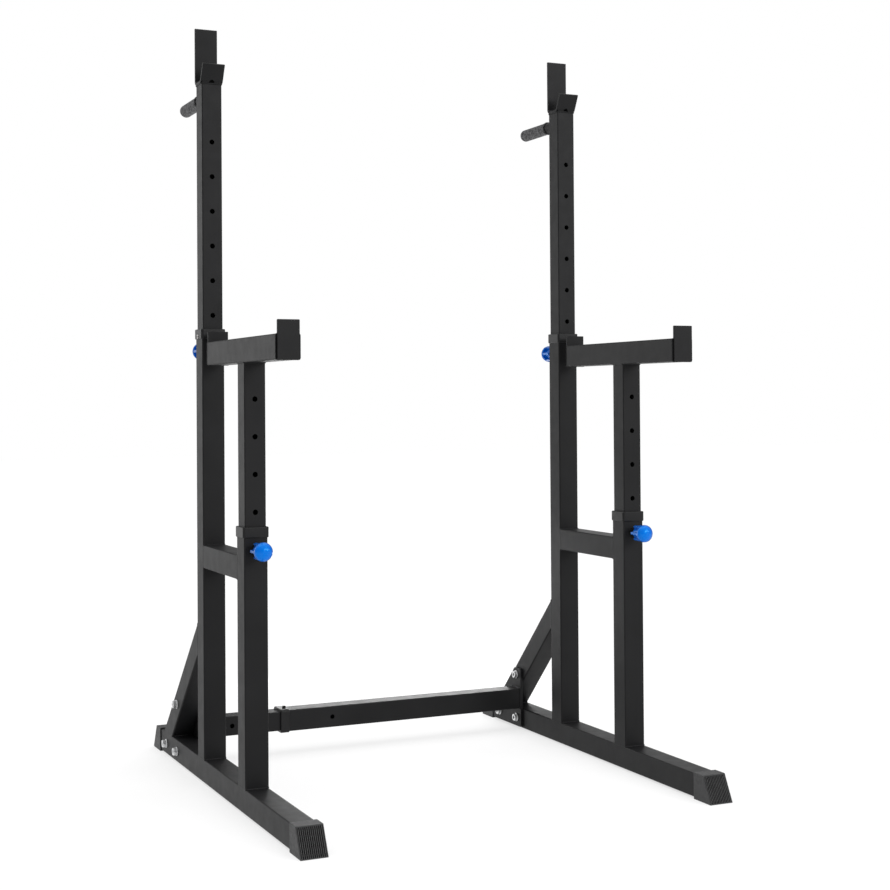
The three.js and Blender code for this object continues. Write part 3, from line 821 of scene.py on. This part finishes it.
# Feet, collars, catches, handles
def foot_cap(side, which, direction):
    """A cap with a raked end face whose upright ribs stand in a shallow panel."""
    node = f"{side}_{which}_foot"
    low, high, middle = box_of(node)
    length = high.y - low.y
    height = high.z - low.z
    width = high.x - low.x
    open_end = low.y if direction > 0 else high.y
    turn = Matrix() if direction > 0 else Matrix.Rotation(math.pi, 4, "Z")
    place = at(middle.x, open_end, low.z) @ turn
    outline = [(0, 0), (length, 0), (length - FOOT_RAKE, height), (0, height)]
    mesh = bmesh.new()
    pushed(mesh, outline, width, place)
    piece = object_of(mesh, f"{node}_look")
    rake = math.atan2(FOOT_RAKE, height)
    slant = math.hypot(FOOT_RAKE, height)
    face = place @ at(0, length - FOOT_RAKE / 2, height / 2) @ Matrix.Rotation(rake, 4, "X")
    panel = Vector((width / 2 - RIB_PANEL_BORDER, slant / 2 - RIB_PANEL_BORDER))
    cutters = bmesh.new()
    recess = rounded(rectangle(panel), FOOT_ROUND / 2)
    pushed(cutters, recess, RIB_PANEL_DEPTH * 2, face @ QUARTER_TURN)
    socket = square_ring(FOOT_SOCKET * 2, OUTER_CORNER, -FOOT_SOLE)
    deep = [point + Vector((0, 0, FOOT_SOLE + FOOT_SOCKET_DEPTH)) for point in socket]
    loft(cutters, [socket, deep], place @ at(0, 0, FOOT_SOLE + OUTER_SIDE / 2) @ ALONG_Y)
    cut(piece, cutters)
    dress(finish(piece, FOOT_ROUND, edge_steps=FOOT_EDGE_STEPS), node)
    tread(node, face, panel)


def tread(node, face, panel):
    """A near-black sheet of painted shade on the panel's floor, and the ribs that stand on it, painted
    lighter as a highlight.
    """
    # Painted shade: a near-black sheet lies on the panel's floor between the ribs
    ground = bmesh.new()
    pushed(ground, rectangle(panel), GROOVE_SHEET, face @ at(0, -RIB_PANEL_DEPTH, 0) @ QUARTER_TURN)
    trim(ground, node, "groove_shade", PAINTED_SHADE)
    ribs = bmesh.new()
    pitch = panel.x * 2 / FOOT_RIB_COUNT
    half = pitch * FOOT_RIB_SHARE / 2
    section = [
        (-half, -RIB_PANEL_DEPTH),
        (half, -RIB_PANEL_DEPTH),
        (half, -half),
        (half / 2, 0),
        (-half / 2, 0),
        (-half, -half),
    ]
    for i in range(FOOT_RIB_COUNT):
        rib = pitch * (i + 1 / 2) - panel.x
        loft(ribs, [[Vector((rib + x, y, z)) for x, y in section] for z in (-panel.y, panel.y)], face)
    # Painted highlight: the ribs' rubber is lighter than the cap's
    trim(ribs, node, "ribs", RIB_HIGHLIGHT)


def post_collar(side, which):
    """The collar on a post; a small screw in its outer side holds the rear one."""
    node = f"{side}_{which}_collar"
    low, high, middle = box_of(node)
    square_collar(node, at(middle.x, middle.y, low.z), high.z - low.z, high.x - low.x)
    if which == "rear":
        out = -1 if side == "left" else 1
        face = low.x if side == "left" else high.x
        height = low.z + COLLAR_SCREW["radius"] + COLLAR_ROUND / 2
        place = at(face, middle.y, height) @ Matrix.Rotation(out * math.pi / 2, 4, "Y")
        button(node, "screw", place, **COLLAR_SCREW, stands_for_it=False, material=DULL_STEEL)
        # Painted shade: a near-black disc inside the screw's hex socket
        socket = bmesh.new()
        reach = COLLAR_SCREW["radius"] * COLLAR_SCREW["drive_share"]
        turned(socket, [(reach, 0), (reach, COLLAR_SCREW["height"] / 2)], place)
        trim(socket, node, "screw_socket_shade", PAINTED_SHADE)


def square_collar(node, place, length, outside):
    """A square collar; its lip closes the outer tube and guides the inner one."""
    corner = OUTER_CORNER + (outside - OUTER_SIDE) / 2
    turns = quarter_turns(CORNER_STEPS)

    def rounding(turn, z):
        return square_ring(outside - COLLAR_ROUND * 2 * (1 - math.cos(turn)), corner, z)

    bottom = [rounding(turn, COLLAR_ROUND * (1 - math.sin(turn))) for turn in reversed(turns)]
    top = [rounding(turn, length - COLLAR_ROUND * (1 - math.sin(turn))) for turn in turns]
    guide, socket = COLLAR_GUIDE * 2, COLLAR_SOCKET * 2
    rings = bottom + top + [
        square_ring(guide, INNER_CORNER, length),
        square_ring(guide, INNER_CORNER, length - COLLAR_LIP),
        square_ring(socket, OUTER_CORNER, length - COLLAR_LIP),
        square_ring(socket, OUTER_CORNER, 0),
    ]
    mesh = bmesh.new()
    loft(mesh, rings, place, loop=True)
    stand_in(mesh, node)


def button(node, label, place, radius, height, drive_share, stands_for_it=True, material=None):
    """A domed screw head with a hex socket, about the Z axis of its place."""
    crown = radius * SCREW_CROWN_SHARE
    dome = [
        (crown + (radius - crown) * math.cos(turn), height * (1 + math.sin(turn)) / 2)
        for turn in quarter_turns(CORNER_STEPS)
    ]
    mesh = bmesh.new()
    turned(mesh, [(radius, 0), *dome], place)
    piece = object_of(mesh, f"{node}_{label}")
    socket = bmesh.new()
    flats = radius * drive_share * 2
    loft(socket, [hex_ring(flats, flats, z) for z in (height / 2, height * 2)], place)
    dress(finish(cut(piece, socket), sharp_angle=SCREW_SHARP_ANGLE), node, stands_for_it, material)


def bar_catch(side):
    """One bent strip: a tall back leg, a flat seat and a leaning front lip with a drain hole."""
    node = f"{side}_bar_catch"
    low, high, middle = box_of(node)
    half = CATCH_DEPTH / 2
    inside = CATCH_BEND - CATCH_STRIP
    back = (half - CATCH_BEND, CATCH_BEND)
    front = (-half + CATCH_BEND, CATCH_BEND)
    lip = math.pi + CATCH_LIP_LEAN
    slope = (-math.sin(CATCH_LIP_LEAN), math.cos(CATCH_LIP_LEAN))
    outer_foot = arc(front, CATCH_BEND, lip, lip, 1)[0]
    inner_foot = arc(front, inside, lip, lip, 1)[0]
    rise = (CATCH_LIP_HEIGHT - outer_foot[1]) / slope[1]
    leg = high.z - low.z
    outline = [
        (half, leg),
        (half - CATCH_STRIP, leg),
        *arc(back, inside, 0, -math.pi / 2),
        *arc(front, inside, math.pi * 3 / 2, lip),
        (inner_foot[0] + slope[0] * rise, inner_foot[1] + slope[1] * rise),
        (outer_foot[0] + slope[0] * rise, outer_foot[1] + slope[1] * rise),
        *arc(front, CATCH_BEND, lip, math.pi * 3 / 2),
        *arc(back, CATCH_BEND, -math.pi / 2, 0),
    ]
    mesh = bmesh.new()
    place = at(middle.x, middle_of(f"{side}_rear_inner_post").y, low.z)
    pushed(mesh, outline, high.x - low.x, place)
    piece = object_of(mesh, f"{node}_look")
    way = place @ at(0, *front) @ Matrix.Rotation(math.pi / 2 - DRAIN_ANGLE, 4, "X")
    drill(piece, [way], CATCH_BEND * 2, DRAIN_RADIUS)
    dress(finish(piece, PLATE_EDGE, CATCH_SHARP_ANGLE), node)
    # Painted shade: a near-black disc inside the drain hole makes it read dark
    bottom = bmesh.new()
    turned(bottom, [(DRAIN_RADIUS, inside), (DRAIN_RADIUS, inside + DRAIN_FLOOR)], way, HOLE_SIDES)
    trim(bottom, node, "drain_shade", PAINTED_SHADE)


def catch_fillets(side):
    """The welds that fill the wedges between the post's top and the catch's two bends. The front
    one stops short of the drain hole on both sides."""
    node = f"{side}_bar_catch"
    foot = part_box(node)[0].z
    post = middle_of(f"{side}_rear_inner_post")
    half = INNER_SIDE / 2
    bend = CATCH_DEPTH / 2 - CATCH_BEND
    reach = math.asin((half - bend) / CATCH_BEND)
    centre = (half - WELD_RADIUS / 2, WELD_RADIUS / 2)
    under = arc((bend, CATCH_BEND), CATCH_BEND + WELD_FLUSH, -math.pi / 2, reach - math.pi / 2)
    belly = arc(centre, WELD_RADIUS, math.pi / 4, -math.pi / 4, CORNER_STEPS)
    root = [(half - WELD_RADIUS, -WELD_RADIUS), (bend, -WELD_RADIUS)]
    end = (INNER_SIDE - INNER_CORNER) / 2
    beads = (
        ("front_left", -1, -end, -FILLET_START),
        ("front_right", -1, FILLET_START, end),
        ("back", 1, -end, end),
    )
    for label, direction, first, last in beads:
        mesh = bmesh.new()
        outline = [(direction * y, z) for y, z in under + belly + root]
        pushed(mesh, outline, last - first, at(post.x + (first + last) / 2, post.y, foot))
        trim(mesh, node, f"{label}_fillet")


def handle(side):
    """The round bar behind the inner post, and the grip on it."""
    bar, grip = f"{side}_handle_bar", f"{side}_handle_grip"
    low, high, middle = box_of(bar)
    bar_end = high.y
    radius = (high.z - low.z) / 2
    start = at(middle.x, low.y, middle.z) @ ALONG_Y
    mesh = bmesh.new()
    turned(mesh, [(radius, 0), (radius, bar_end - low.y)], start)
    stand_in(mesh, bar, TUBE_EDGE)
    weld(bar, "post", [start @ point for point in round_ring(radius, 0)], Vector((0, 1, 0)))
    low, high, _ = box_of(grip)
    length = high.y - low.y
    blind = bar_end - low.y + TUBE_EDGE
    ridge = GRIP_FLANGE_LENGTH / 4
    tip = [
        (GRIP_RADIUS - GRIP_ROUND * (1 - math.cos(turn)), length - GRIP_ROUND * (1 - math.sin(turn)))
        for turn in quarter_turns(BEND_STEPS)[:-1]
    ]
    mesh = bmesh.new()
    turned(mesh, [
        (TUBE_EDGE, blind),
        (GRIP_BORE, blind),
        (GRIP_BORE, 0),
        (GRIP_FLANGE - ridge, 0),
        (GRIP_FLANGE, ridge),
        (GRIP_FLANGE, GRIP_FLANGE_LENGTH - ridge),
        (GRIP_FLANGE - ridge, GRIP_FLANGE_LENGTH),
        (GRIP_RADIUS, GRIP_FLANGE_LENGTH),
        *tip,
        (TUBE_EDGE, length),
    ], at(middle.x, low.y, middle.z) @ ALONG_Y)
    stand_in(mesh, grip)


def knob(side, which, direction):
    """A hub round the barrel, ribs that open out to a rim, and a smooth dome."""
    node = f"{side}_{which}_knob"
    middle = middle_of(node)
    place = at(middle.x, post_y(node) + direction * OUTER_SIDE / 2, middle.z) @ outward(direction)
    dome = [
        (KNOB_RADIUS * math.cos(turn), KNOB_DOME_START + (KNOB_TOP - KNOB_DOME_START) * math.sin(turn))
        for turn in quarter_turns(BEND_STEPS)[:-1]
    ]
    mesh = bmesh.new()
    turned(mesh, [
        (TUBE_EDGE, KNOB_BORE_END),
        (KNOB_BORE, KNOB_BORE_END),
        (KNOB_BORE, KNOB_START),
        (KNOB_HUB_RADIUS - KNOB_EDGE, KNOB_START),
        (KNOB_HUB_RADIUS, KNOB_START + KNOB_EDGE),
        (KNOB_HUB_RADIUS, KNOB_RIM),
        (KNOB_RADIUS - KNOB_EDGE, KNOB_RIM),
        (KNOB_RADIUS, KNOB_RIM + KNOB_EDGE),
        *dome,
    ], place)
    root = (KNOB_BORE + KNOB_HUB_RADIUS) / 2
    rib = [
        (root, KNOB_START + KNOB_EDGE),
        (RIB_INNER_END, KNOB_START + KNOB_EDGE),
        (RIB_RIM_END, KNOB_RIM + KNOB_EDGE),
        (root, KNOB_RIM + KNOB_EDGE),
    ]
    for i in range(RIB_COUNT):
        turn = Matrix.Rotation((i + 1 / 2) / RIB_COUNT * math.tau, 4, "Z")
        pushed(mesh, rib, RIB_WIDTH, place @ turn)
    stand_in(mesh, node, KNOB_BEVEL, KNOB_SHARP_ANGLE)


def pin_spring(side, which, direction):
    """The coil round the pin, which the pin's shoulder presses towards the barrel's end wall."""
    node = f"{side}_{which}_pin_spring"
    low, high, _ = box_of(node)
    axis = middle_of(f"{side}_{which}_pin")
    length = high.y - low.y
    start = low.y if direction > 0 else high.y
    place = at(axis.x, start, axis.z) @ outward(direction)
    section = [(SPRING_RADIUS + point.x, point.y) for point in round_ring(SPRING_WIRE, 0, WELD_SIDES)]
    rings = []
    for i in range(SPRING_TURNS * SPRING_STEPS + 1):
        turns = i / SPRING_STEPS
        rise = coil_rise(turns, length - SPRING_WIRE * 2) + SPRING_WIRE
        turn = Matrix.Rotation(turns * math.tau, 4, "Z")
        rings.append([turn @ Vector((radius, 0, rise + z)) for radius, z in section])
    mesh = bmesh.new()
    loft(mesh, rings, place)
    piece = stand_in(mesh, node)
    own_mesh(piece)


def coil_rise(turns, length):
    """How high the wire has climbed: its first and last turns lie close, and the rest are open."""
    first = min(turns, 1) * SPRING_END_RISE
    last = max(turns - (SPRING_TURNS - 1), 0) * SPRING_END_RISE
    open_turns = min(max(turns - 1, 0), SPRING_TURNS - 2)
    return first + last + open_turns / (SPRING_TURNS - 2) * (length - SPRING_END_RISE * 2)


def pin(side, which):
    """The pin shows only in its barrel, so the CAD's own is kept."""
    node = f"{side}_{which}_pin"
    shown = frame["nodes"][node]
    shown.data.materials.clear()
    shown.data.materials.append(MATERIALS[SLOT_OF[node]])


# Crossbeam and its fastenings
def end_plate(side, inward):
    """The plate bolted to the frame's inner side, with the beam's weld on it."""
    node = f"{side}_end_plate"
    low, high, middle = box_of(node)
    shoulder = low.y + PLATE_TOP_WIDTH
    corners = [
        (low.y, low.z),
        (high.y, low.z),
        (high.y, high.z - (high.y - shoulder)),
        (shoulder, high.z),
        (low.y, high.z),
    ]
    mesh = bmesh.new()
    pushed(mesh, rounded(corners, PLATE_CORNER), high.x - low.x, at(middle.x, 0, 0))
    stand_in(mesh, node, PLATE_EDGE)
    inner = inward > 0
    beam = middle_of("beam_inner_tube" if inner else "beam_outer_tube")
    width, corner = (INNER_SIDE, INNER_CORNER) if inner else (OUTER_SIDE, OUTER_CORNER)
    place = at(high.x if inner else low.x, beam.y, beam.z) @ ALONG_X
    ring = [place @ point for point in square_ring(width, corner, 0)]
    weld(node, "beam", ring, Vector((1, 0, 0)), BEAM_WELD_RADIUS)


def through_bolt(side, label, inward):
    """Hex head and washer on the frame's inner side, washer, nut and thread end outside."""
    node = f"{side}_{label}_bolt"
    low, high, middle = box_of(node)
    length = high.x - low.x
    start = high.x if inward > 0 else low.x
    turn = Matrix.Rotation(math.pi, 4, "Z") if inward > 0 else Matrix()
    place = at(start, middle.y, middle.z) @ turn @ ALONG_X
    corner = HEX_FLATS / math.sqrt(3)
    chamfer = (corner - HEX_FLATS / 2) / 2
    socket_corner = BOLT_SOCKET_FLATS / math.sqrt(3)
    mesh = bmesh.new()
    loft(mesh, [
        hex_ring(HEX_FLATS, corner, HEAD_HEIGHT),
        hex_ring(HEX_FLATS, corner, chamfer),
        hex_ring(HEX_FLATS, HEX_FLATS / 2 * HEAD_FACE_SHARE, 0),
        hex_ring(BOLT_SOCKET_FLATS, socket_corner, 0),
        hex_ring(BOLT_SOCKET_FLATS, socket_corner, BOLT_SOCKET_DEPTH),
    ], place)
    washer(mesh, HEAD_HEIGHT, place)
    tail = length - bolt_tail(length)
    seat = tail - NUT_HEIGHT
    washer(mesh, seat - WASHER_THICKNESS, place)
    loft(mesh, [
        hex_ring(HEX_FLATS, corner - chamfer, seat),
        hex_ring(HEX_FLATS, corner, seat + chamfer),
        hex_ring(HEX_FLATS, corner, tail - chamfer),
        hex_ring(HEX_FLATS, corner - chamfer, tail),
    ], place)
    thread = [(BOLT_RADIUS, HEAD_HEIGHT)]
    z = tail - THREAD_PITCH
    while z + THREAD_PITCH < length:
        thread += [(BOLT_RADIUS, z), (BOLT_RADIUS - THREAD_DEPTH, z + THREAD_PITCH / 2)]
        z += THREAD_PITCH
    cup = length - BOLT_SOCKET_DEPTH
    end = [(BOLT_RADIUS - THREAD_DEPTH, length), (BOLT_CUP_RADIUS, length), (BOLT_CUP_RADIUS, cup)]
    turned(mesh, [*thread, *end], place)
    stand_in(mesh, node, sharp_angle=BOLT_SHARP_ANGLE)
    # Painted shade: near-black discs at the bottom of the head's socket and of the thread end's cup
    shade_discs = bmesh.new()
    for z in (BOLT_SOCKET_DEPTH - HOLLOW_FLOOR, cup):
        turned(shade_discs, [(BOLT_CUP_RADIUS, z), (BOLT_CUP_RADIUS, z + HOLLOW_FLOOR)], place)
    trim(shade_discs, node, "hollow_shades", PAINTED_SHADE)


def bolt_tail(length):
    """How far the bolt's end stands out of its nut, from the lengths of all that it holds."""
    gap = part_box("left_end_plate")[0].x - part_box("left_cross_tube")[1].x
    held = OUTER_SIDE + width_of("left_end_plate") + gap * 3
    return length - HEAD_HEIGHT - NUT_HEIGHT - WASHER_THICKNESS * 2 - held


def washer(mesh, z, place):
    turned(mesh, [
        (WASHER_RADIUS - WASHER_EDGE, z),
        (WASHER_RADIUS, z + WASHER_EDGE),
        (WASHER_RADIUS, z + WASHER_THICKNESS - WASHER_EDGE),
        (WASHER_RADIUS - WASHER_EDGE, z + WASHER_THICKNESS),
    ], place)


def crossbeam():
    """The two beam tubes with their holes, the collar between them and its lock screw."""
    node = "beam_inner_tube"
    low, high, middle = box_of(node)
    places = [
        at(low.x + BEAM_FIRST_HOLE + i * BEAM_HOLE_PITCH, middle.y - INNER_SIDE, middle.z) @ ALONG_Y
        for i in range(BEAM_HOLE_COUNT)
    ]
    piece = object_of(level_tube(node, "X"), f"{node}_look")
    dress(finish(drill(piece, places, INNER_SIDE * 2), TUBE_EDGE), node)

    node = "beam_outer_tube"
    low, high, _ = box_of(node)
    place = at(low.x + OUTER_BEAM_HOLE, low.y - HOLE_RADIUS, middle.z) @ ALONG_Y
    piece = object_of(level_tube(node, "X"), f"{node}_look")
    dress(finish(drill(piece, [place], OUTER_SIDE / 2), TUBE_EDGE), node)

    node = "beam_collar"
    low, high, _ = box_of(node)
    turn = Matrix.Rotation(-math.pi / 2, 4, "Y")
    square_collar(node, at(high.x, middle.y, middle.z) @ turn, high.x - low.x, high.z - low.z)

    node = "beam_lock_screw"
    low, high, middle = box_of(node)
    button(node, "look", at(middle.x, middle.y, high.z - LOCK_SCREW["height"]), **LOCK_SCREW)


for name in SIDES:
    inward = 1 if name == "left" else -1
    base_tube(name)
    foot_cap(name, "front", -1)
    foot_cap(name, "rear", 1)
    outer_post(name, "rear", 1)
    outer_post(name, "front", -1)
    inner_post(name, "rear", "catch")
    inner_post(name, "front", "arm")
    post_collar(name, "rear")
    post_collar(name, "front")
    knob(name, "rear", 1)
    knob(name, "front", -1)
    bar_catch(name)
    catch_fillets(name)
    handle(name)
    safety_arm(name)
    cross_tube(name)
    rear_brace(name)
    end_plate(name, inward)
    for label in ("upper", "front", "rear"):
        through_bolt(name, label, inward)
    for which, direction in (("rear", 1), ("front", -1)):
        pin_spring(name, which, direction)
        pin(name, which)
crossbeam()


# Camera
camera = bpy.data.objects.new("camera", bpy.data.cameras.new("camera"))
bpy.context.scene.collection.objects.link(camera)
bpy.context.scene.camera = camera
camera.data.sensor_width = CAMERA_SENSOR
camera.data.lens = CAMERA_LENS
camera.data.shift_y = CAMERA_SHIFT_Y
heading = Matrix.Rotation(-CAMERA_YAW, 4, "Z") @ Matrix.Rotation(math.pi / 2 + CAMERA_PITCH, 4, "X")
camera.matrix_world = Matrix.Translation(CAMERA_PLACE) @ heading @ Matrix.Rotation(CAMERA_ROLL, 4, "Z")


# Floor and light
def floor():
    mesh = bmesh.new()
    bmesh.ops.create_grid(mesh, x_segments=1, y_segments=1, size=FLOOR_SIZE / 2)
    plane = object_of(mesh, "floor")
    plane.location.z = -TUBE_EDGE
    tone = (FLOOR_TONE,) * 3
    nodes = Nodes("pale_floor", tone, roughness=0.9, specular=0.0)
    nodes.tint(nodes.noise(3, detail=3), tone, (FLOOR_TONE * FLOOR_DRIFT_SHARE,) * 3)
    nodes.shader.inputs["Emission Color"].default_value = WHITE
    nodes.shader.inputs["Emission Strength"].default_value = FLOOR_GLOW
    plane.data.materials.append(nodes.material)


def lamps():
    for name, facts in LAMPS.items():
        data = bpy.data.lights.new(name, "AREA")
        data.shape = "RECTANGLE"
        data.size, data.size_y = facts["size"]
        data.energy = facts["power"]
        lamp = bpy.data.objects.new(name, data)
        lamp.location = facts["place"]
        aim = Vector(facts["aim"]) - Vector(facts["place"])
        lamp.rotation_mode = "QUATERNION"
        lamp.rotation_quaternion = aim.to_track_quat("-Z", "Y")
        lamp.visible_camera = False
        bpy.context.scene.collection.objects.link(lamp)


def world():
    """A white studio: plain white where it is seen, and lit from above where it lights."""
    made = bpy.data.worlds.new("studio")
    bpy.context.scene.world = made
    made.use_nodes = True
    tree = made.node_tree
    make = tree.nodes.new
    link = tree.links.new
    direction = make("ShaderNodeTexCoord").outputs["Generated"]
    parts = make("ShaderNodeSeparateXYZ")
    link(direction, parts.inputs[0])
    above = make("ShaderNodeMath")
    above.operation = "MAXIMUM"
    above.inputs[1].default_value = 0
    link(parts.outputs["Z"], above.inputs[0])
    rise = make("ShaderNodeMath")
    rise.operation = "POWER"
    rise.inputs[1].default_value = WORLD_RISE
    link(above.outputs[0], rise.inputs[0])
    level = make("ShaderNodeMapRange")
    level.inputs["To Min"].default_value = WORLD_LOW
    level.inputs["To Max"].default_value = WORLD_HIGH
    link(rise.outputs[0], level.inputs["Value"])
    sky = tree.nodes["Background"]
    sky.inputs["Color"].default_value = WHITE
    link(level.outputs["Result"], sky.inputs["Strength"])
    shown = make("ShaderNodeBackground")
    shown.inputs["Color"].default_value = WHITE
    shown.inputs["Strength"].default_value = WORLD_SHOWN
    mix = make("ShaderNodeMixShader")
    link(make("ShaderNodeLightPath").outputs["Is Camera Ray"], mix.inputs["Fac"])
    link(sky.outputs["Background"], mix.inputs[1])
    link(shown.outputs["Background"], mix.inputs[2])
    link(mix.outputs["Shader"], tree.nodes["World Output"].inputs["Surface"])


floor()
lamps()
world()
bpy.context.scene.view_settings.view_transform = "Standard"
